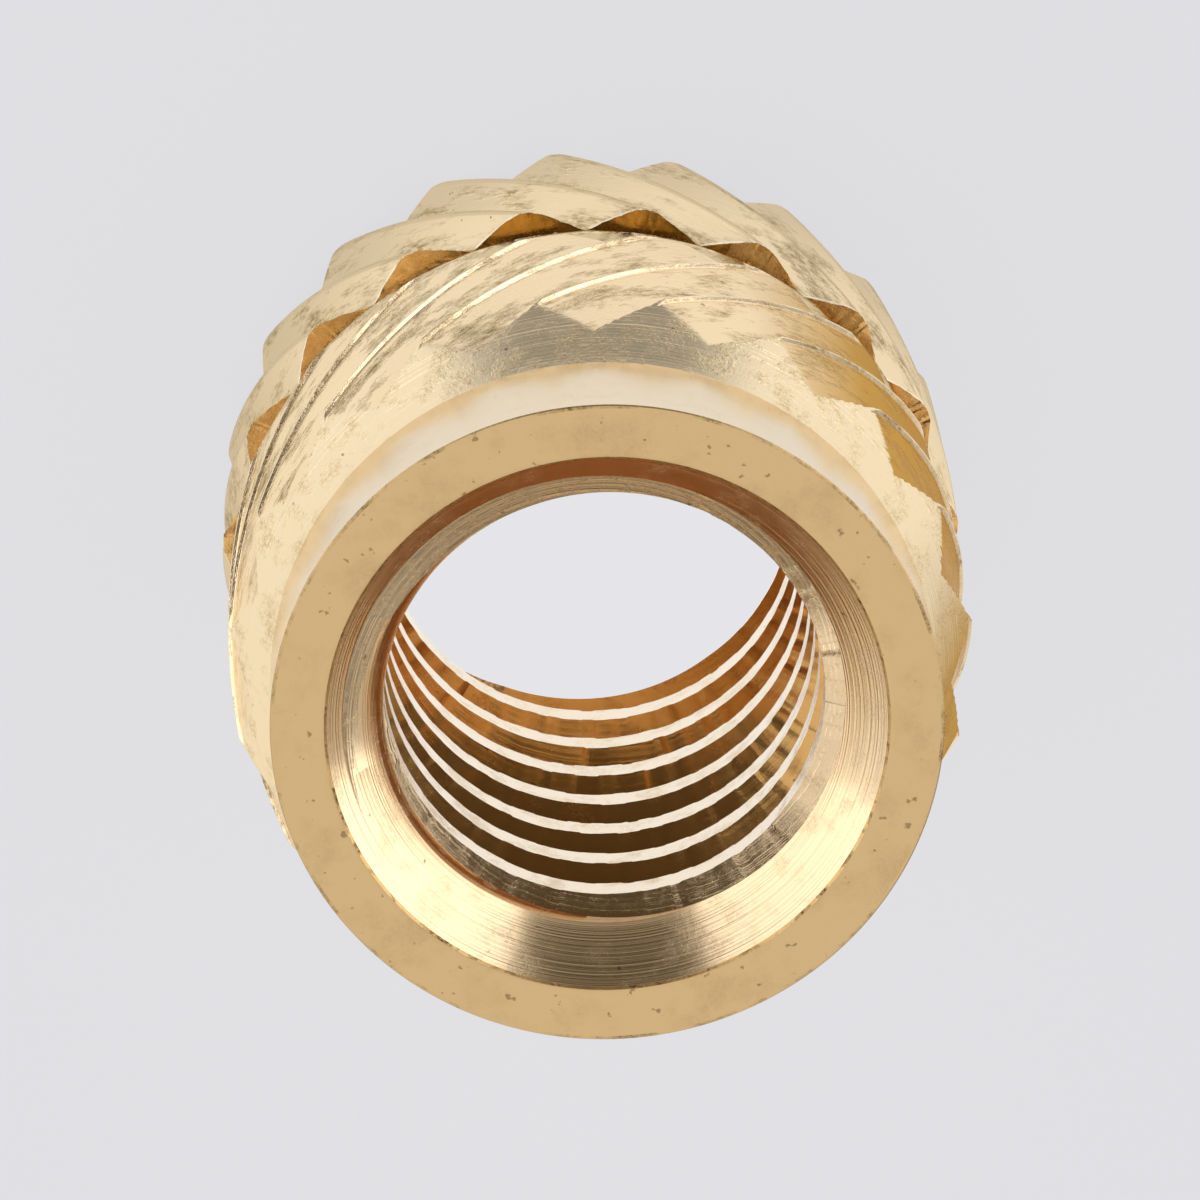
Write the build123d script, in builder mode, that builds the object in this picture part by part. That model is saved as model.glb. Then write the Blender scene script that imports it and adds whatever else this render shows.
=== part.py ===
# Tapered brass insert for plastic, turned from one bar and knurled in two bands of opposite hand.
# Millimetres, +Z up. It stands on its large end, with the pilot at the top and the origin under the bore.
import os
from math import cos, pi, radians, sin, tan

from build123d import *

os.makedirs("parts", exist_ok=True)

# Turned blank, from the large end up to the pilot
total_length = 6.65
rear_band_length = 1.9
rear_band_diameter = 7.25
rim_diameter = 6.76
rim_taper_length = 0.65
front_band_diameter = 7.04
taper_length = 0.6
lead_in_diameter = 6.45
lead_in_length = 0.2
pilot_length = 1.3
pilot_diameter = 6.25
edge_break = 0.05

# Tapped bore, left at the thread's minor diameter
thread_diameter = 5.0
thread_pitch = 0.8
thread_height_share = 0.5413
mouth_diameter = 5.25
rear_mouth_diameter = 4.3

# Knurl, rolled in with wheels of the same count on both bands
knurl_count = 19
knurl_angle = 47.0
front_groove_depth = 0.2
front_groove_gap = 0.12
front_crest_share = 0.05
front_valley_share = 0.8
front_start_share = 0.434
rear_crest_share = 0.16
rear_root_share = 0.05
rear_start_share = 0.035
overrun = 0.4

# Heights and radii that follow from the sizes above
step_height = rear_band_length
pilot_base = total_length - pilot_length
lead_in_base = pilot_base - lead_in_length
taper_base = lead_in_base - taper_length
rim_taper_top = step_height + rim_taper_length
bore_radius = thread_diameter / 2 - thread_height_share * thread_pitch
mouth_radius = mouth_diameter / 2
rear_mouth_radius = rear_mouth_diameter / 2
rim_radius = rim_diameter / 2
front_radius = front_band_diameter / 2
rear_radius = rear_band_diameter / 2
front_root_radius = front_radius - front_groove_depth
tooth_angle = 360 / knurl_count
front_lead = pi * front_band_diameter / tan(radians(knurl_angle))
rear_lead = pi * rear_band_diameter / tan(radians(knurl_angle))


def polar(radius, turn_share):
    """A point at a radius, turned by a share of one tooth."""
    turn = radians(turn_share * tooth_angle)
    return (radius * cos(turn), radius * sin(turn))


with BuildPart() as insert:
    # Half section of the blank, turned about the bore's axis
    with BuildSketch(Plane.XZ):
        with BuildLine():
            Polyline(
                (bore_radius, rear_mouth_radius - bore_radius),
                (rear_mouth_radius, 0),
                (rear_radius, 0),
                (rear_radius, step_height),
                (rim_radius, step_height),
                (front_radius, rim_taper_top),
                (front_radius, taper_base),
                (lead_in_diameter / 2, lead_in_base),
                (pilot_diameter / 2, pilot_base),
                (pilot_diameter / 2, total_length - edge_break),
                (pilot_diameter / 2 - edge_break, total_length),
                (mouth_radius, total_length),
                (bore_radius, total_length - mouth_radius + bore_radius),
                close=True,
            )
        make_face()
    revolve(axis=Axis.Z)

    # Front band: right-hand grooves that run out on the taper and stop short of the step
    groove_base = step_height + front_groove_gap
    groove_length = pilot_base - groove_base
    groove_edge = front_radius + overrun
    with BuildSketch(Plane.XY.offset(groove_base)):
        with PolarLocations(0, knurl_count, start_angle=front_start_share * tooth_angle):
            Polygon(
                polar(groove_edge, front_crest_share / 2),
                polar(front_radius, front_crest_share / 2),
                polar(front_root_radius, 1 - front_valley_share),
                polar(front_radius, 1 - front_crest_share / 2),
                polar(groove_edge, 1 - front_crest_share / 2),
                align=None,
            )
    sweep(
        path=Line((0, 0, groove_base), (0, 0, pilot_base)),
        binormal=Helix(front_lead, groove_length, front_radius, center=(0, 0, groove_base)),
        mode=Mode.SUBTRACT,
    )

    # Rear band: left-hand grooves down to the front band's rim
    rear_edge = rear_radius + overrun
    with BuildSketch(Plane.XY):
        Circle(rear_edge)
        Circle(rear_radius, mode=Mode.SUBTRACT)
        with PolarLocations(0, knurl_count, start_angle=rear_start_share * tooth_angle):
            Polygon(
                polar(rim_radius, -rear_root_share / 2),
                polar(rim_radius, rear_root_share / 2),
                polar(rear_radius, (1 - rear_crest_share) / 2),
                polar(rear_edge, (1 - rear_crest_share) / 2),
                polar(rear_edge, (rear_crest_share - 1) / 2),
                polar(rear_radius, (rear_crest_share - 1) / 2),
                align=None,
            )
    sweep(
        path=Line((0, 0, 0), (0, 0, step_height)),
        binormal=Helix(rear_lead, step_height, rim_radius, lefthand=True),
        mode=Mode.SUBTRACT,
    )

insert.part.label = "threaded_insert"
export_step(insert.part, "parts/threaded_insert.step")
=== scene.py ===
from collections import namedtuple
from math import atan2, hypot, pi, radians, tan
from random import Random

import bmesh
import bpy
from mathutils import Matrix, Vector


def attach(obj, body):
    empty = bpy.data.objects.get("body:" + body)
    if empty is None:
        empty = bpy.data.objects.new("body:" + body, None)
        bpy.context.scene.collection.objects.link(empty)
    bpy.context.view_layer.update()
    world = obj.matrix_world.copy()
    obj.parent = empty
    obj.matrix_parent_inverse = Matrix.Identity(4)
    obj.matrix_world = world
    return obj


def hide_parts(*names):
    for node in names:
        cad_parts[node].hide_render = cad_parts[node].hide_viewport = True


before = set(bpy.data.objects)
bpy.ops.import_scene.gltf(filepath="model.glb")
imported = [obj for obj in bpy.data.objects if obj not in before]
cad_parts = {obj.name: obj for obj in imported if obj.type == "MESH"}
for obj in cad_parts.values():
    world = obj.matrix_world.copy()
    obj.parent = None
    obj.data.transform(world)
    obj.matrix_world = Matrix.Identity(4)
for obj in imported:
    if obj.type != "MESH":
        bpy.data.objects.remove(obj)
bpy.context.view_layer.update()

# The insert is modelled in millimetres and brought to metres at the end
MM = 0.001

# Turned blank, from the large end up to the pilot and back down the bore
TOTAL_LENGTH = 6.65
STEP_HEIGHT = 1.9
RIM_RADIUS = 3.38
RIM_TAPER_TOP = 2.55
FRONT_RADIUS = 3.52
TAPER_BASE = 4.55
LEAD_IN_BASE = 5.15
LEAD_IN_RADIUS = 3.225
PILOT_BASE = 5.35
PILOT_RADIUS = 3.125
EDGE_BREAK = 0.012
FACE_RADIUS = 3.1
FACE_EDGE = 3.09
MOUTH_RADIUS = 2.625
MOUTH_DEPTH = 0.558
SINK_RADIUS = 2.628
SINK_EDGE = 2.6
BORE_RADIUS = 2.067
REAR_MOUTH_RADIUS = 2.15

# Knurl, with each band's turn in degrees a millimetre and its start in degrees
TEETH = 19
TOOTH_ANGLE = 360 / TEETH
REAR_TURN = 16.95
REAR_START = 0.035 * TOOTH_ANGLE
REAR_CREST = 3.6
FRONT_TURN = 17.455
GROOVE_ANGLE = 8.223
GROOVE_BASE = 2.02
GROOVE_ROOT = 3.32
FRONT_START = GROOVE_ANGLE - FRONT_TURN * GROOVE_BASE
BURR = 0.026
LIP = 0.022
CREASE = 0.012
LAND_ROW = 0.03

# Rows of points along each band
REAR_ROWS = 23
RIM_TAPER_ROWS = 14
FRONT_ROWS = 30
TAPER_ROWS = 24

# Screw thread, cut with a tap whose core is thinner than the bore
THREAD_PITCH = 0.8
THREAD_ROOT_RADIUS = 2.45
THREAD_ROOT_FLAT = 0.09
THREAD_START = 0.067
FLANK_ANGLE = 30
TAP_CORE = 1.9
TAP_TURNS = 11
TAP_STEPS = 200
TEAR = 0.007

# Points closer than this, in radians or as a share of the radius, stay where they are
SAME = 1e-6


def deselect_everything():
    if bpy.context.object and bpy.context.object.mode == "EDIT":
        bpy.ops.object.mode_set(mode="OBJECT")
    bpy.ops.object.select_all(action="DESELECT")


def edit_mesh():
    bm = bmesh.from_edit_mesh(bpy.context.object.data)
    bm.verts.ensure_lookup_table()
    return bm


def pick(numbers):
    """Selects these points of the mesh being edited, and the edges between them."""
    bpy.ops.mesh.select_all(action="DESELECT")
    bm = edit_mesh()
    for i in numbers:
        bm.verts[i].select_set(True)
    bm.select_flush(True)
    bmesh.update_edit_mesh(bpy.context.object.data, loop_triangles=False, destructive=False)


def row_points(start_angle):
    """The selected row's points and places, in order round the axis from where the tooth starts."""
    bm = edit_mesh()
    first = radians(start_angle - TOOTH_ANGLE / 2)
    points = [(v.index, v.co.x, v.co.y) for v in bm.verts if v.select]
    return sorted(points, key=lambda p: (atan2(p[2], p[1]) - first) % (2 * pi))


def turn_row(angle):
    bpy.ops.transform.rotate(value=-radians(angle), orient_axis="Z", center_override=(0, 0, 0))


def next_row(angle, rise):
    """Pulls a new row out of the selected one, turned about the axis and moved along it."""
    bpy.ops.mesh.extrude_region_move(TRANSFORM_OT_translate={"value": (0, 0, rise)})
    if angle:
        turn_row(angle)


def shape_row(start_angle, shares, radii):
    """Draws each point of the selected row to its share of the tooth and its radius."""
    row = row_points(start_angle)
    for (number, x, y), share, radius in zip(row, shares, radii):
        wanted = radians(start_angle + share * TOOTH_ANGLE)
        off = (wanted - atan2(y, x) + pi) % (2 * pi) - pi
        ratio = radius / hypot(x, y)
        if abs(off) < SAME and abs(ratio - 1) < SAME:
            continue
        pick([number])
        if abs(off) >= SAME:
            turn_row(off * 180 / pi)
        if abs(ratio - 1) >= SAME:
            bpy.ops.transform.resize(value=(ratio, ratio, 1), center_override=(0, 0, 0))
    pick([number for number, x, y in row])


def between(x, table):
    """Reads a radius off a table of corners."""
    for (x0, y0), (x1, y1) in zip(table, table[1:]):
        if x <= x1:
            return y0 + (y1 - y0) * max(0, x - x0) / (x1 - x0)
    return table[-1][1]


# One tooth of each band, as shares of the tooth against radius, and the blank, as heights against radius
REAR_TOOTH = [(0, 3.382), (0.025, 3.384), (0.39, 3.59), (0.43, 3.61), (0.47, 3.617), (0.5, 3.617)]
FRONT_TOOTH = [(0.918, 3.5), (0.95, 3.505), (0.965, 3.5), (0.975, 3.512), (0.985, 3.54), (1, 3.546),
               (1.012, 3.53), (1.025, 3.482), (1.04, 3.478), (1.2, GROOVE_ROOT), (1.918, 3.5)]
BLANK = [(STEP_HEIGHT, RIM_RADIUS), (RIM_TAPER_TOP, FRONT_RADIUS + BURR), (TAPER_BASE, FRONT_RADIUS + BURR),
         (LEAD_IN_BASE, LEAD_IN_RADIUS), (PILOT_BASE, PILOT_RADIUS)]

# Points across a tooth, closer together where it bends
HALF_TOOTH = [0, 0.012, 0.025, 0.05, 0.1, 0.15, 0.2, 0.25, 0.3, 0.35, 0.39, 0.41, 0.43, 0.45, 0.47]
REAR_SHARES = HALF_TOOTH + [0.5] + [1 - s for s in reversed(HALF_TOOTH)]
FRONT_SHARES = [0.918, 0.935, 0.95, 0.965, 0.975, 0.985, 1.0, 1.012, 1.025, 1.04, 1.07, 1.1, 1.13, 1.16, 1.18,
                1.2, 1.22, 1.25, 1.3, 1.35, 1.4, 1.46, 1.52, 1.58, 1.64, 1.7, 1.75, 1.8, 1.85, 1.89, 1.918]
FRONT_PLACES = [s - FRONT_SHARES[0] for s in FRONT_SHARES]
POINTS = len(REAR_SHARES)


def rear_radius(share):
    return between(min(share, 1 - share), REAR_TOOTH)


def front_radius(share, height):
    return min(between(share, FRONT_TOOTH), between(height, BLANK))


def first_row():
    """One tooth's share of a circle, shaped as the rear band's tooth."""
    deselect_everything()
    bpy.ops.mesh.primitive_circle_add(vertices=TEETH * (POINTS - 1), radius=FRONT_RADIUS)
    bpy.ops.object.mode_set(mode="EDIT")
    bm = edit_mesh()
    circle_start, slack = 90, 0.1
    pick([v.index for v in bm.verts
          if (atan2(v.co.y, v.co.x) * 180 / pi - circle_start + slack) % 360 > TOOTH_ANGLE + 2 * slack])
    bpy.ops.mesh.delete(type="VERT")
    bpy.ops.mesh.select_all(action="SELECT")
    turn_row(REAR_START - circle_start)
    shape_row(REAR_START, REAR_SHARES, [rear_radius(s) for s in REAR_SHARES])


def rear_band():
    """The left-hand band up to its lip, and the wall at its teeth's ends down to a fine crease at the rim."""
    start = REAR_START
    for rise in [(STEP_HEIGHT - LIP) / REAR_ROWS] * REAR_ROWS + [LIP]:
        start -= REAR_TURN * rise
        next_row(-REAR_TURN * rise, rise)
    for share in (0.35, 0.7, 0.95):
        next_row(0, 0)
        shape_row(start, REAR_SHARES,
                  [rear_radius(s) * (1 - share) + (RIM_RADIUS - CREASE) * share for s in REAR_SHARES])
    next_row(0, CREASE)
    shape_row(start, REAR_SHARES, [RIM_RADIUS] * POINTS)
    return start


def front_band(start):
    """The rim's land, where the points move to the front tooth, and the right-hand band on its tapers."""
    height = STEP_HEIGHT + CREASE
    for share in (0.34, 0.67, 1.0):
        next_row(0, LAND_ROW)
        height += LAND_ROW
        shape_row(start, [a + (b - a) * share for a, b in zip(REAR_SHARES, FRONT_PLACES)],
                  [between(height, BLANK)] * POINTS)
    rises = [(RIM_TAPER_TOP - height) / RIM_TAPER_ROWS] * RIM_TAPER_ROWS
    rises += [(TAPER_BASE - RIM_TAPER_TOP) / FRONT_ROWS] * FRONT_ROWS
    rises += [(LEAD_IN_BASE - TAPER_BASE) / TAPER_ROWS] * TAPER_ROWS
    for rise in rises:
        height += rise
        start += FRONT_TURN * rise
        next_row(FRONT_TURN * rise, rise)
        shape_row(start, FRONT_PLACES, [front_radius(s, height) for s in FRONT_SHARES])
    return start


def turned_end(start):
    """Lead-in, pilot, front face, countersink with a soft inner edge, bore and rear mouth."""
    top = TOTAL_LENGTH
    turned = [(between(z, BLANK), z) for z in (PILOT_BASE - 0.1, PILOT_BASE - 0.02)]
    turned += [(PILOT_RADIUS, z) for z in (PILOT_BASE + 0.005, PILOT_BASE + 0.4, PILOT_BASE + 0.8, top - 0.1)]
    turned += [(PILOT_RADIUS, top - EDGE_BREAK), (PILOT_RADIUS - EDGE_BREAK, top)]
    turned += [(radius, top) for radius in (FACE_EDGE, 2.95, 2.8, 2.68, 2.64)]
    turned += [(SINK_RADIUS - depth, top - depth) for depth in (0.004, 0.028, 0.228, 0.428)]
    turned += [(2.14, top - 0.492), (2.1, top - 0.545), (2.078, top - 0.6)]
    turned += [(BORE_RADIUS, z) for z in (top - 0.68, 4.6, 3.1, 1.6, REAR_MOUTH_RADIUS - BORE_RADIUS)]
    turned += [(REAR_MOUTH_RADIUS, 0)]
    height = LEAD_IN_BASE
    for radius, z in turned:
        next_row(0, z - height)
        height = z
        shape_row(start, FRONT_PLACES, [radius] * POINTS)


def large_end(start):
    """The flat large end, closed on the next tooth's first row."""
    end = REAR_START + TOOTH_ANGLE
    for share in (0.3, 0.65):
        next_row(0, 0)
        shape_row(start + (end - start) * share,
                  [a + (b - a) * share for a, b in zip(FRONT_PLACES, REAR_SHARES)],
                  [REAR_MOUTH_RADIUS + (RIM_RADIUS - REAR_MOUTH_RADIUS) * share] * POINTS)
    next_row(0, 0)
    shape_row(end, REAR_SHARES, [rear_radius(s) for s in REAR_SHARES])


def model_tooth():
    """One tooth of the insert, drawn row by row from the large end over the knurl and back down the bore."""
    first_row()
    start = rear_band()
    start = front_band(start)
    turned_end(start)
    large_end(start)
    bpy.ops.object.mode_set(mode="OBJECT")
    return bpy.context.object


def model_tap():
    """The tap's helical ridge, long enough to run out of both ends."""
    deselect_everything()
    bpy.ops.mesh.primitive_plane_add(size=1, rotation=(pi / 2, 0, 0))
    bpy.ops.object.transform_apply(rotation=True)
    tap = bpy.context.object
    bpy.ops.object.mode_set(mode="EDIT")
    slope = tan(radians(FLANK_ANGLE))
    for side, radius in ((1, THREAD_ROOT_RADIUS), (-1, TAP_CORE)):
        half = THREAD_ROOT_FLAT / 2 + (THREAD_ROOT_RADIUS - radius) * slope
        bm = edit_mesh()
        pick([v.index for v in bm.verts if v.co.x * side > 0])
        bpy.ops.transform.resize(value=(1, 1, 2 * half), center_override=(0, 0, 0))
        bpy.ops.transform.translate(value=(radius - side * 0.5, 0, 0))
    bpy.ops.mesh.select_all(action="SELECT")
    bpy.ops.mesh.delete(type="ONLY_FACE")
    bpy.ops.mesh.select_all(action="SELECT")
    bpy.ops.transform.translate(value=(0, 0, THREAD_START - 2 * THREAD_PITCH))
    bpy.ops.object.mode_set(mode="OBJECT")
    screw = tap.modifiers.new("thread", "SCREW")
    screw.axis = "Z"
    screw.angle = 2 * pi
    screw.screw_offset = THREAD_PITCH
    screw.iterations = TAP_TURNS
    screw.steps = TAP_STEPS
    screw.render_steps = TAP_STEPS
    screw.use_merge_vertices = False
    bpy.ops.object.modifier_apply(modifier="thread")
    bpy.ops.object.mode_set(mode="EDIT")
    bpy.ops.mesh.select_all(action="SELECT")
    bpy.ops.mesh.remove_doubles(threshold=1e-5)
    bpy.ops.mesh.select_all(action="DESELECT")
    bpy.ops.mesh.select_non_manifold()
    bpy.ops.mesh.fill_holes(sides=0)
    bpy.ops.mesh.select_all(action="SELECT")
    bpy.ops.mesh.normals_make_consistent(inside=False)
    bpy.ops.object.mode_set(mode="OBJECT")
    return tap


def roughen(reach, wanted):
    """Burrs: moves the points that a test picks by radius and height a little at random."""
    bm = edit_mesh()
    pick([v.index for v in bm.verts if wanted(hypot(v.co.x, v.co.y), v.co.z)])
    bpy.ops.transform.vertex_random(offset=reach, uniform=1.0, normal=0.0, seed=7)


def tear_crests():
    """Moves short stretches of the thread's crests up or down at random, as a worn tap leaves them."""
    per_radian, per_mm = 18, 8
    bm = edit_mesh()
    crest = [(v.index, int(atan2(v.co.y, v.co.x) * per_radian), int(v.co.z * per_mm)) for v in bm.verts
             if abs(hypot(v.co.x, v.co.y) - BORE_RADIUS) < 0.002 and 0.1 < v.co.z < TOTAL_LENGTH - 0.7]
    ragged = Random(7)
    torn = {spot: ragged.choice((-2 * TEAR, -TEAR, 0, 0, TEAR, 2 * TEAR))
            for spot in sorted({point[1:] for point in crest})}
    for rise in (-2 * TEAR, -TEAR, TEAR, 2 * TEAR):
        pick([number for number, turn, height in crest if torn[turn, height] == rise])
        bpy.ops.transform.translate(value=(0, 0, rise))


def model_insert():
    """The whole insert: the tooth spun round, its edges burred, then tapped."""
    insert = model_tooth()
    insert.name = "insert_body"
    bpy.ops.object.mode_set(mode="EDIT")
    bpy.ops.mesh.select_all(action="SELECT")
    bpy.ops.mesh.spin(steps=TEETH - 1, dupli=True, angle=radians(TOOTH_ANGLE * (TEETH - 1)), center=(0, 0, 0),
                      axis=(0, 0, 1))
    bpy.ops.mesh.select_all(action="SELECT")
    bpy.ops.mesh.remove_doubles(threshold=1e-4)
    bpy.ops.mesh.normals_make_consistent(inside=False)

    # Rear teeth's lip, rear crests, front crests, crease at the rim, pilot's front edge
    roughen(0.007, lambda r, z: abs(z - STEP_HEIGHT) < 0.001 and r > RIM_RADIUS + 0.02)
    roughen(0.005, lambda r, z: 0.05 < z < STEP_HEIGHT - 0.01 and r > REAR_CREST)
    roughen(0.008, lambda r, z: z > STEP_HEIGHT + 0.2 and r > FRONT_RADIUS + 0.005)
    roughen(0.004, lambda r, z: abs(z - STEP_HEIGHT - CREASE) < 0.001 and r > RIM_RADIUS - 0.02)
    roughen(0.003, lambda r, z: z > TOTAL_LENGTH - 0.04 and r > FACE_EDGE)
    bpy.ops.object.mode_set(mode="OBJECT")

    tap = model_tap()
    deselect_everything()
    insert.select_set(True)
    bpy.context.view_layer.objects.active = insert
    cut = insert.modifiers.new("tapping", "BOOLEAN")
    cut.operation = "DIFFERENCE"
    cut.solver = "MANIFOLD"
    cut.object = tap
    bpy.ops.object.modifier_apply(modifier="tapping")
    bpy.data.objects.remove(tap)
    bpy.ops.object.mode_set(mode="EDIT")
    tear_crests()
    bpy.ops.object.mode_set(mode="OBJECT")
    insert.scale = (MM, MM, MM)
    bpy.ops.object.transform_apply(scale=True)
    bpy.ops.object.shade_smooth_by_angle(angle=radians(16))
    return insert


def linear(hex_colour):
    """sRGB hex to the linear colour that a shader takes."""
    parts = [int(hex_colour[i:i + 2], 16) / 255 for i in (1, 3, 5)]
    return tuple(c / 12.92 if c <= 0.04045 else ((c + 0.055) / 1.055) ** 2.4 for c in parts) + (1,)


def add_node(tree, kind, links=None, **settings):
    """Adds a node; settings are its properties or input values, links go from sockets to its inputs."""
    node = tree.nodes.new(kind)
    for key, value in settings.items():
        if hasattr(node, key):
            setattr(node, key, value)
        else:
            node.inputs[key.replace("_", " ")].default_value = value
    for key, socket in (links or {}).items():
        tree.links.new(socket, node.inputs[key])
    return node


# Painted warm shade for one side and its edge-on tint, pits on brass, and how far the rings' pattern leans so
# that it shows on walls, cones and faces
SIDE_SHADE = "#D6B074"
SIDE_SHADE_SHEEN = "#DCBC8C"
PIT = "#6A5638"
PIT_SIZE = 0.11
RING_LEAN = 0.6


def brass_finish(name, bright, dull, roughness, rings, grain, patch=0.3, twist=0.0, low=None, specks=0.0,
                 shaded_side=None, sheen="#FFFFFF"):
    """Brass with turning rings and grain, each a size and a depth in mm, and dull patches along a twist.

    Between the two radii in low it darkens downwards, as painted shade in the grooves. A direction with two
    distances paints warm shade on one side:
    this painted shade starts at the first distance and is full at the second. The sheen tints what is seen
    edge-on.
    """
    paint = bpy.data.materials.new(name)
    paint.use_nodes = True
    tree = paint.node_tree
    shader = tree.nodes["Principled BSDF"]
    shader.inputs["Metallic"].default_value = 1.0
    shader.inputs["Specular Tint"].default_value = linear(sheen)

    # Turning rings, along radius and height together
    place = add_node(tree, "ShaderNodeTexCoord").outputs["Object"]
    height = add_node(tree, "ShaderNodeSeparateXYZ", {0: place}).outputs["Z"]
    across = add_node(tree, "ShaderNodeVectorMath", {0: place}, operation="MULTIPLY")
    across.inputs[1].default_value = (1, 1, 0)
    radius = add_node(tree, "ShaderNodeVectorMath", {0: across.outputs[0]},
                      operation="LENGTH").outputs["Value"]
    along = add_node(tree, "ShaderNodeMath", {0: height, 2: radius}, operation="MULTIPLY_ADD")
    along.inputs[1].default_value = -RING_LEAN
    ring = add_node(tree, "ShaderNodeTexNoise", {"W": along.outputs[0]}, noise_dimensions="1D",
                    Scale=1 / (rings[0] * MM), Detail=2.0).outputs[0]

    # Grain and worn patches, drawn out along the knurl where there is a twist
    unwound = place
    if twist:
        angle = add_node(tree, "ShaderNodeMath", {0: height}, operation="MULTIPLY")
        angle.inputs[1].default_value = -radians(twist) / MM
        straight = add_node(tree, "ShaderNodeVectorRotate", {"Vector": place, "Angle": angle.outputs[0]},
                            rotation_type="Z_AXIS").outputs[0]
        drawn_out = add_node(tree, "ShaderNodeVectorMath", {0: straight}, operation="MULTIPLY")
        drawn_out.inputs[1].default_value = (1, 1, 0.6)
        unwound = drawn_out.outputs[0]
    speckle = add_node(tree, "ShaderNodeTexNoise", {"Vector": unwound}, Scale=1 / (grain[0] * MM), Detail=4.0,
                       Roughness=0.65).outputs[0]
    patches = add_node(tree, "ShaderNodeTexNoise", {"Vector": unwound}, Scale=1 / (patch * MM), Detail=6.0,
                       Roughness=0.65).outputs[0]
    worn = add_node(tree, "ShaderNodeMapRange", {"Value": patches}, From_Min=0.49, From_Max=0.65).outputs[0]
    coarse = add_node(tree, "ShaderNodeMapRange", {"Value": worn}, To_Min=0.25).outputs[0]
    torn = add_node(tree, "ShaderNodeMath", {0: coarse, 1: speckle}, operation="MULTIPLY").outputs[0]
    # Painted shade: darker down in the grooves, between the two radii in low; worn then carries both wear and
    # this painted shade
    if low:
        groove_shade = add_node(tree, "ShaderNodeMapRange", {"Value": radius}, From_Min=low[0] * MM,
                        From_Max=low[1] * MM, To_Min=1.0, To_Max=0.0).outputs[0]
        if not shaded_side:
            worn = add_node(tree, "ShaderNodeMath", {0: worn, 1: groove_shade}, operation="ADD",
                            use_clamp=True).outputs[0]
    grit = add_node(tree, "ShaderNodeMapRange", {"Value": speckle}, From_Min=0.4, From_Max=0.6,
                    To_Min=0.1).outputs[0]
    gritty = add_node(tree, "ShaderNodeMath", {0: worn, 1: grit}, operation="MULTIPLY").outputs[0]
    tint = add_node(tree, "ShaderNodeMix", {"Factor": gritty}, data_type="RGBA")
    tint.inputs[6].default_value = linear(bright)
    tint.inputs[7].default_value = linear(dull)

    # Painted warm shade on one side, only down in the grooves where low is given too
    if shaded_side:
        toward, begins, full = shaded_side
        way = add_node(tree, "ShaderNodeVectorMath", {0: place}, operation="DOT_PRODUCT")
        way.inputs[1].default_value = toward
        side_shade = add_node(tree, "ShaderNodeMapRange", {"Value": way.outputs["Value"]}, From_Min=begins * MM,
                           From_Max=full * MM, To_Max=0.95).outputs[0]
        if low:
            side_shade = add_node(tree, "ShaderNodeMath", {0: side_shade, 1: groove_shade}, operation="MULTIPLY").outputs[0]
        tint = add_node(tree, "ShaderNodeMix", {"Factor": side_shade, 6: tint.outputs[2]}, data_type="RGBA")
        tint.inputs[7].default_value = linear(SIDE_SHADE)
        edge = add_node(tree, "ShaderNodeMix", {"Factor": side_shade}, data_type="RGBA")
        edge.inputs[6].default_value = linear(sheen)
        edge.inputs[7].default_value = linear(SIDE_SHADE_SHEEN)
        tree.links.new(edge.outputs[2], shader.inputs["Specular Tint"])

    # Small dark pits
    dots = add_node(tree, "ShaderNodeTexNoise", {"Vector": place}, Scale=1 / (PIT_SIZE * MM),
                    Detail=2.0).outputs[0]
    speck = add_node(tree, "ShaderNodeMapRange", {"Value": dots}, From_Min=0.74 - specks,
                     From_Max=0.78 - specks, To_Max=0.6).outputs[0]
    dark = add_node(tree, "ShaderNodeMix", {"Factor": speck, 6: tint.outputs[2]}, data_type="RGBA")
    dark.inputs[7].default_value = linear(PIT)
    tree.links.new(dark.outputs[2], shader.inputs["Base Color"])

    # Gloss, and the relief of grain and rings
    matt = add_node(tree, "ShaderNodeMapRange", {"Value": torn}, From_Min=0.1, From_Max=0.5,
                    To_Min=roughness[0], To_Max=roughness[1]).outputs[0]
    tree.links.new(matt, shader.inputs["Roughness"])
    fine = add_node(tree, "ShaderNodeBump", {"Height": torn}, Strength=1.0, Distance=grain[1] * MM)
    turned = add_node(tree, "ShaderNodeBump", {"Height": ring, "Normal": fine.outputs[0]}, Strength=1.0,
                      Distance=rings[1] * MM)
    tree.links.new(turned.outputs[0], shader.inputs["Normal"])
    return paint


# What a finish is placed by: radius, height and x in mm, how far the face looks up, share of its band's tooth
Facet = namedtuple("Facet", "r z up share x")


def finish_faces(piece, paint, wanted):
    """Gives a finish to the faces that a test picks."""
    piece.data.materials.append(paint)
    piece.active_material_index = len(piece.data.materials) - 1
    bpy.ops.object.mode_set(mode="EDIT")
    bpy.ops.mesh.select_mode(type="FACE")
    bpy.ops.mesh.select_all(action="DESELECT")
    bm = bmesh.from_edit_mesh(piece.data)
    for face in bm.faces:
        middle = face.calc_center_median() * (1 / MM)
        angle = atan2(middle.y, middle.x) * 180 / pi
        share = (angle - FRONT_START - FRONT_TURN * middle.z) / TOOTH_ANGLE % 1
        if middle.z < STEP_HEIGHT:
            share = (angle - REAR_START + REAR_TURN * middle.z) / TOOTH_ANGLE % 1
        if wanted(Facet(hypot(middle.x, middle.y), middle.z, face.normal.z, share, middle.x)):
            face.select_set(True)
    bmesh.update_edit_mesh(piece.data)
    bpy.ops.object.material_slot_assign()
    bpy.ops.object.mode_set(mode="OBJECT")


insert = model_insert()
insert.data.materials.clear()

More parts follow.
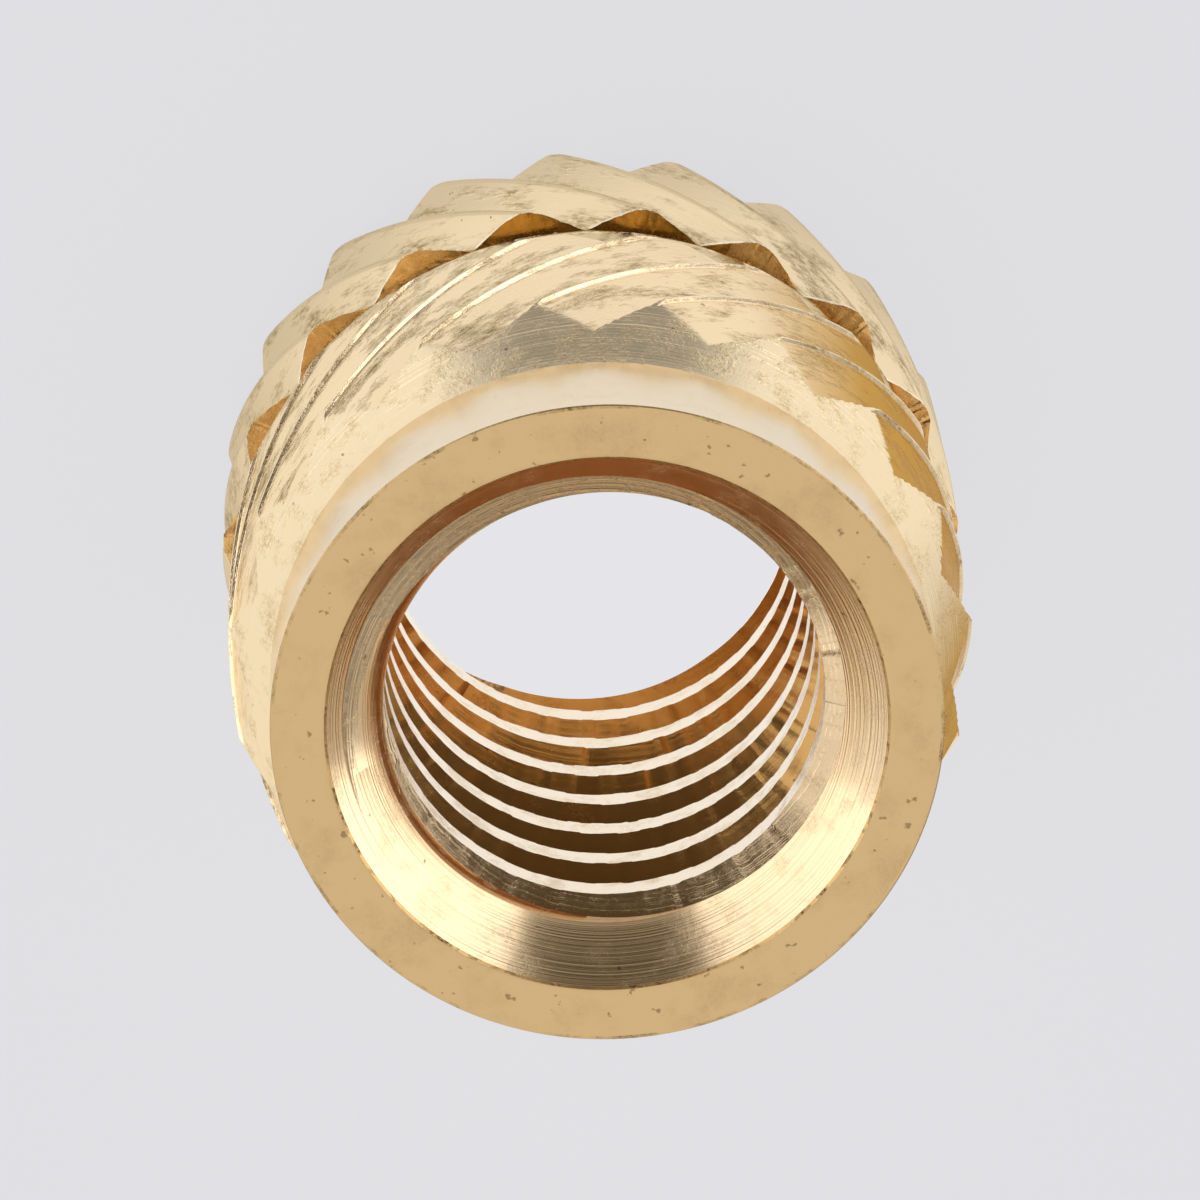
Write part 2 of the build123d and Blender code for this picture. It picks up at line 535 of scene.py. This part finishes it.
# Rings and grain that several finishes share, and limits between neighbouring finishes
FAINT_RINGS = (0.05, 0.0006)
FINE_RINGS = (0.05, 0.001)
FINE_GRAIN = (0.03, 0.006)
END_GRAIN = (0.04, 0.006)
FACE_DEPTH = 0.035
THREAD_TOP = TOTAL_LENGTH - 0.03
THREAD_REACH = THREAD_ROOT_RADIUS + 0.02


def on_tooth_end(f):
    return abs(f.z - STEP_HEIGHT) < 0.01 and f.r > RIM_RADIUS - 0.01 and f.up > 0.7


# Rolled front knurl: bright where the wheel pressed it smooth, torn into sparkling grain along the teeth,
# with painted warm shade down in its grooves on the -x side
finish_faces(insert,
             brass_finish("rolled_front_knurl_brass", "#F6DFBA", "#9A8250", (0.13, 0.34), FAINT_RINGS,
                          (0.045, 0.02), 0.38, FRONT_TURN, (3.5, 3.52), shaded_side=((-1, 0, 0), 1.4, 2.5),
                          sheen="#F8EEDA"),
             lambda f: f.z > STEP_HEIGHT + 0.01)
# Rolled rear knurl: the same brass, with painted shade darkening it down in the grooves
finish_faces(insert,
             brass_finish("rolled_rear_knurl_brass", "#F0DAB4", "#AC966A", (0.15, 0.36), FAINT_RINGS,
                          (0.045, 0.014), 0.34, -REAR_TURN, (3.375, 3.42), sheen="#F6ECD8"),
             lambda f: f.z < STEP_HEIGHT + 0.01)
# Rear flanks turned from the light on the -x side: painted shade, a darker grey olive
finish_faces(insert,
             brass_finish("shaded_rear_flank_brass", "#BCA472", "#4A3C24", (0.2, 0.4), FAINT_RINGS,
                          (0.045, 0.02), 0.24, -REAR_TURN, sheen="#A69468"),
             lambda f: 0.01 < f.z < STEP_HEIGHT - LIP and f.share < 0.4 and f.x < -0.6)
# Groove ends at the rim: duller, as painted shade in these recesses
finish_faces(insert,
             brass_finish("shaded_groove_end_brass", "#DEC89C", "#A48C5C", (0.25, 0.4), FAINT_RINGS,
                          (0.035, 0.016), 0.15, FRONT_TURN),
             lambda f: 0.09 < f.z - STEP_HEIGHT < 0.42 and f.r < between(f.z, BLANK) - 0.014)
# Lip of the rear teeth: paler, as a painted highlight along the edge
finish_faces(insert,
             brass_finish("lip_highlight_brass", "#FAECD0", "#E8D4AC", (0.2, 0.34), FAINT_RINGS, FINE_GRAIN,
                          0.1),
             lambda f: STEP_HEIGHT - LIP < f.z < STEP_HEIGHT - 0.002 and f.r > RIM_RADIUS + 0.03)
# Crease under the front crests: painted shade, dark where the burr folds over
finish_faces(insert,
             brass_finish("crest_crease_shade_brass", "#9A8252", "#6E5A36", (0.3, 0.45), FAINT_RINGS, FINE_GRAIN,
                          0.1),
             lambda f: RIM_TAPER_TOP - 0.15 < f.z < TAPER_BASE and 0.013 < f.share < 0.025)
# Sheared tooth ends: smooth, with a deep brown painted reflection of the shaded rim in front of them
finish_faces(insert,
             brass_finish("shaded_tooth_end_brass", "#AC7E38", "#9C7030", (0.25, 0.4), FINE_RINGS,
                          END_GRAIN),
             on_tooth_end)
# Tooth ends out at the sides: the same, with a lighter painted reflection of more of the room
finish_faces(insert,
             brass_finish("lit_tooth_end_brass", "#E0B474", "#D0A462", (0.25, 0.4), FINE_RINGS, END_GRAIN),
             lambda f: on_tooth_end(f) and abs(f.x) > 1.3)
# Turned pilot: nearly polished, so it mirrors the pale floor
finish_faces(insert,
             brass_finish("polished_pilot_brass", "#F1DEBE", "#EBD8B6", (0.18, 0.2), (0.03, 0.0002),
                          (0.05, 0.0004)),
             lambda f: f.r > PILOT_RADIUS - 0.225 and f.z > PILOT_BASE and f.up < 0.9)
# Broken front edge: nicked in handling
finish_faces(insert,
             brass_finish("nicked_edge_brass", "#CDB080", "#927A4C", (0.4, 0.5), FINE_RINGS, (0.04, 0.01),
                          0.4),
             lambda f: f.r > FACE_RADIUS and f.z > TOTAL_LENGTH - FACE_DEPTH and f.up > 0.5)
# Faced end: an even matt cut with small dark pits
finish_faces(insert,
             brass_finish("faced_end_brass", "#CFB182", "#CCAD7E", (0.4, 0.46), (0.04, 0.0006), FINE_GRAIN,
                          0.6, specks=0.05),
             lambda f: (MOUTH_RADIUS - 0.001 < f.r < FACE_RADIUS and f.z > TOTAL_LENGTH - FACE_DEPTH
                        and f.up > 0.9))
# Turned cone between pilot and knurl: bright, with clear turning rings, and painted warm shade on its side
# towards -x and +y
finish_faces(insert,
             brass_finish("turned_cone_brass", "#F4DFBA", "#D4BA88", (0.15, 0.3), (0.03, 0.004),
                          (0.035, 0.008), shaded_side=((-0.85, 0.53, 0), 2.2, 2.9), sheen="#F8EEDA"),
             lambda f: TAPER_BASE < f.z < PILOT_BASE and 0.35 < f.up < 0.55)
# Countersink: drilled, with fine chatter rings that break its bright streaks up
finish_faces(insert,
             brass_finish("drilled_countersink_brass", "#F4DAB2", "#F0D4AA", (0.2, 0.28), (0.008, 0.0022),
                          (0.03, 0.001)),
             lambda f: f.r < MOUTH_RADIUS and f.z > TOTAL_LENGTH - MOUTH_DEPTH - 0.01)
# Mouth of the countersink: a dark broken burr
finish_faces(insert,
             brass_finish("burred_mouth_brass", "#D8B47C", "#4A3416", (0.3, 0.45), FINE_RINGS, (0.04, 0.01),
                          0.2),
             lambda f: SINK_EDGE < f.r < MOUTH_RADIUS and f.z > TOTAL_LENGTH - 0.04)
# Tapped thread: cut flanks in deeper yellow
finish_faces(insert,
             brass_finish("tapped_thread_brass", "#EABA74", "#DCA864", (0.2, 0.28), (0.03, 0.0014),
                          (0.05, 0.0008)),
             lambda f: f.r < THREAD_REACH and 0.05 < f.z < THREAD_TOP and not 0.1 < f.up < 0.75)
# First turn of the thread: chattered where the tap bit, so it sparkles, and paler than the deeper turns as
# painted light
finish_faces(insert,
             brass_finish("chattered_lit_first_turn_brass", "#F4DAB2", "#E8CCA0", (0.22, 0.3), (0.02, 0.004),
                          (0.04, 0.002), 0.1),
             lambda f: f.r < THREAD_REACH and TOTAL_LENGTH - 1.22 < f.z < THREAD_TOP and f.up > 0.75)
# Thread crests: near-white, as a painted highlight along the crest lines
finish_faces(insert,
             brass_finish("crest_highlight_brass", "#F8E8D0", "#EED8B4", (0.22, 0.34), (0.03, 0.001), END_GRAIN),
             lambda f: abs(f.r - BORE_RADIUS) < 0.014 and 0.05 < f.z < THREAD_TOP and abs(f.up) < 0.6)
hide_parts("threaded_insert")
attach(insert, "root")

BACKDROP = "#E5E5E9"


def studio_paper():
    """Pale paper: nearly the backdrop's colour to the camera, and a painted glow, shaded by place, where the
    brass mirrors it.
    """
    paint = bpy.data.materials.new("pale_studio_paper")
    paint.use_nodes = True
    tree = paint.node_tree
    tree.nodes.clear()
    paper = add_node(tree, "ShaderNodeBsdfDiffuse", Color=linear("#E4E3E8"))
    path = add_node(tree, "ShaderNodeLightPath")
    spot = add_node(tree, "ShaderNodeTexCoord").outputs["Object"]
    reach = add_node(tree, "ShaderNodeVectorMath", {0: spot}, operation="LENGTH").outputs["Value"]
    aim = add_node(tree, "ShaderNodeVectorMath", {0: spot}, operation="NORMALIZE").outputs[0]
    side = add_node(tree, "ShaderNodeSeparateXYZ", {0: aim}).outputs["Y"]

    # Mirrored by the brass: a painted glow with painted shade, darker close to the insert but not under its
    # bore, and in two sectors further out
    close = add_node(tree, "ShaderNodeMapRange", {"Value": reach}, From_Min=3.6 * MM, From_Max=6.5 * MM,
                     To_Min=0.75, To_Max=1.02, interpolation_type="SMOOTHSTEP").outputs[0]
    bore = add_node(tree, "ShaderNodeMapRange", {"Value": reach}, From_Min=2.6 * MM, From_Max=3.0 * MM,
                    To_Min=1.0, To_Max=0.0).outputs[0]
    near = add_node(tree, "ShaderNodeMath", {0: close, 1: bore}, operation="MAXIMUM").outputs[0]
    shaded = add_node(tree, "ShaderNodeVectorMath", {0: aim}, operation="DOT_PRODUCT")
    shaded.inputs[1].default_value = (-0.87, 0.5, 0)
    shadow = add_node(tree, "ShaderNodeMapRange", {"Value": shaded.outputs["Value"]}, From_Min=0.75,
                      From_Max=0.97, To_Max=0.5, interpolation_type="SMOOTHSTEP").outputs[0]
    far = add_node(tree, "ShaderNodeMapRange", {"Value": reach}, From_Min=6 * MM, From_Max=16 * MM,
                   interpolation_type="SMOOTHSTEP").outputs[0]
    front = add_node(tree, "ShaderNodeMapRange", {"Value": side}, From_Min=-0.8, From_Max=-0.97, To_Max=0.7,
                     interpolation_type="SMOOTHSTEP").outputs[0]
    sector = add_node(tree, "ShaderNodeMath", {0: front, 1: shadow}, operation="ADD").outputs[0]
    dim = add_node(tree, "ShaderNodeMath", {0: far, 1: sector}, operation="MULTIPLY").outputs[0]
    lit = add_node(tree, "ShaderNodeMath", {1: dim}, operation="SUBTRACT")
    lit.inputs[0].default_value = 1.0
    light = add_node(tree, "ShaderNodeMath", {0: near, 1: lit.outputs[0]}, operation="MULTIPLY").outputs[0]
    mirrored = add_node(tree, "ShaderNodeEmission", {"Strength": light}, Color=(1, 1, 1, 1))

    # Seen by the camera: the backdrop's own colour, mixed with shaded paper round the insert
    glow = add_node(tree, "ShaderNodeEmission", Color=linear(BACKDROP), Strength=1.0)
    inside = add_node(tree, "ShaderNodeMapRange", {"Value": reach}, From_Min=2.6 * MM, From_Max=3.4 * MM,
                      To_Min=1.0, To_Max=0.85).outputs[0]
    distant = add_node(tree, "ShaderNodeMapRange", {"Value": reach}, From_Min=20 * MM,
                       From_Max=80 * MM).outputs[0]
    plain = add_node(tree, "ShaderNodeMath", {0: inside, 1: distant}, operation="MAXIMUM").outputs[0]
    shown = add_node(tree, "ShaderNodeMixShader", {0: plain, 1: paper.outputs[0], 2: glow.outputs[0]})
    seen = add_node(tree, "ShaderNodeMixShader", {0: path.outputs["Is Camera Ray"], 1: paper.outputs[0],
                                                  2: shown.outputs[0]})
    mix = add_node(tree, "ShaderNodeMixShader", {0: path.outputs["Is Glossy Ray"], 1: seen.outputs[0],
                                                 2: mirrored.outputs[0]})
    add_node(tree, "ShaderNodeOutputMaterial", {"Surface": mix.outputs[0]})
    return paint


# Pale floor
deselect_everything()
bpy.ops.mesh.primitive_plane_add(size=2.0)
floor = bpy.context.object
floor.name = "floor"
floor.data.materials.append(studio_paper())

# Photograph's view: the pilot's face in front of the camera in mm, and the bore's lean away from it
FOCAL_PIXELS = 7801.1
PHOTO_PIXELS = 1200
SENSOR_WIDTH = 36
DISTANCE = 72.143
SHIFT_X, SHIFT_Y = 0.0717, 1.1721
LEAN_X, LEAN_Y = -0.0329, -0.3281


def aim_camera():
    """Sets the camera up from the photograph's view, worked out with y down and z away from the camera."""
    back = Vector((LEAN_X, LEAN_Y, (1 - LEAN_X ** 2 - LEAN_Y ** 2) ** 0.5))
    u = back.cross(Vector((0, 1, 0))).normalized()
    v = back.cross(u)
    to_camera = Matrix((u, -v, -back)).transposed()
    large_end_centre = Vector((SHIFT_X, SHIFT_Y, DISTANCE)) + TOTAL_LENGTH * back
    place = -(to_camera.transposed() @ large_end_centre) * MM
    flip = Matrix(((1, 0, 0), (0, -1, 0), (0, 0, -1)))
    camera = bpy.data.objects.new("camera", bpy.data.cameras.new("camera"))
    bpy.context.scene.collection.objects.link(camera)
    camera.matrix_world = Matrix.Translation(place) @ (to_camera.transposed() @ flip).to_4x4()
    camera.data.sensor_width = SENSOR_WIDTH
    camera.data.lens = SENSOR_WIDTH * FOCAL_PIXELS / PHOTO_PIXELS
    camera.data.clip_start = 1 * MM
    bpy.context.scene.camera = camera


def softbox(name, place, size, watts):
    """A rectangular lamp that faces the insert."""
    lamp = bpy.data.lights.new(name, "AREA")
    lamp.shape = "RECTANGLE"
    lamp.size, lamp.size_y = size
    lamp.energy = watts
    holder = bpy.data.objects.new(name, lamp)
    bpy.context.scene.collection.objects.link(holder)
    holder.location = place
    holder.rotation_euler = (-Vector(place)).to_track_quat("-Z", "Y").to_euler()


def light_room():
    """A dim warm room with a pale glow low round the horizon, and a plain wall that only the camera sees."""
    world = bpy.data.worlds.new("studio")
    bpy.context.scene.world = world
    world.use_nodes = True
    tree = world.node_tree
    background = tree.nodes["Background"]
    aim = add_node(tree, "ShaderNodeTexCoord").outputs["Generated"]
    rise = add_node(tree, "ShaderNodeSeparateXYZ", {0: aim}).outputs["Z"]
    glow = add_node(tree, "ShaderNodeMapRange", {"Value": rise}, From_Min=0.05, From_Max=0.4, To_Min=0.6,
                    To_Max=0.09, interpolation_type="SMOOTHSTEP").outputs[0]
    tree.links.new(glow, background.inputs["Strength"])
    warm = add_node(tree, "ShaderNodeMapRange", {"Value": rise}, From_Min=0.15, From_Max=0.5).outputs[0]
    room = add_node(tree, "ShaderNodeMix", {"Factor": warm}, data_type="RGBA")
    room.inputs[6].default_value = linear("#FBF8F2")
    room.inputs[7].default_value = linear("#F0CFA0")
    tree.links.new(room.outputs[2], background.inputs["Color"])
    wall = add_node(tree, "ShaderNodeBackground", Color=linear(BACKDROP), Strength=1.0)
    path = add_node(tree, "ShaderNodeLightPath")
    seen = add_node(tree, "ShaderNodeMixShader", {0: path.outputs["Is Camera Ray"], 1: background.outputs[0],
                                                  2: wall.outputs[0]})
    tree.links.new(seen.outputs[0], tree.nodes["World Output"].inputs["Surface"])


aim_camera()
softbox("left_softbox", (0.29, -0.165, 0.09), (0.4, 0.18), 0.28)
softbox("right_softbox", (-0.3, -0.14, 0.09), (0.46, 0.18), 0.38)
softbox("overhead_softbox", (0.0, 0.1, 0.3), (0.5, 0.45), 0.74)
softbox("left_fill", (0.28, 0.115, 0.175), (0.3, 0.3), 0.21)
softbox("right_fill", (-0.28, 0.115, 0.175), (0.3, 0.3), 0.05)
light_room()
bpy.context.scene.view_settings.view_transform = "Standard"
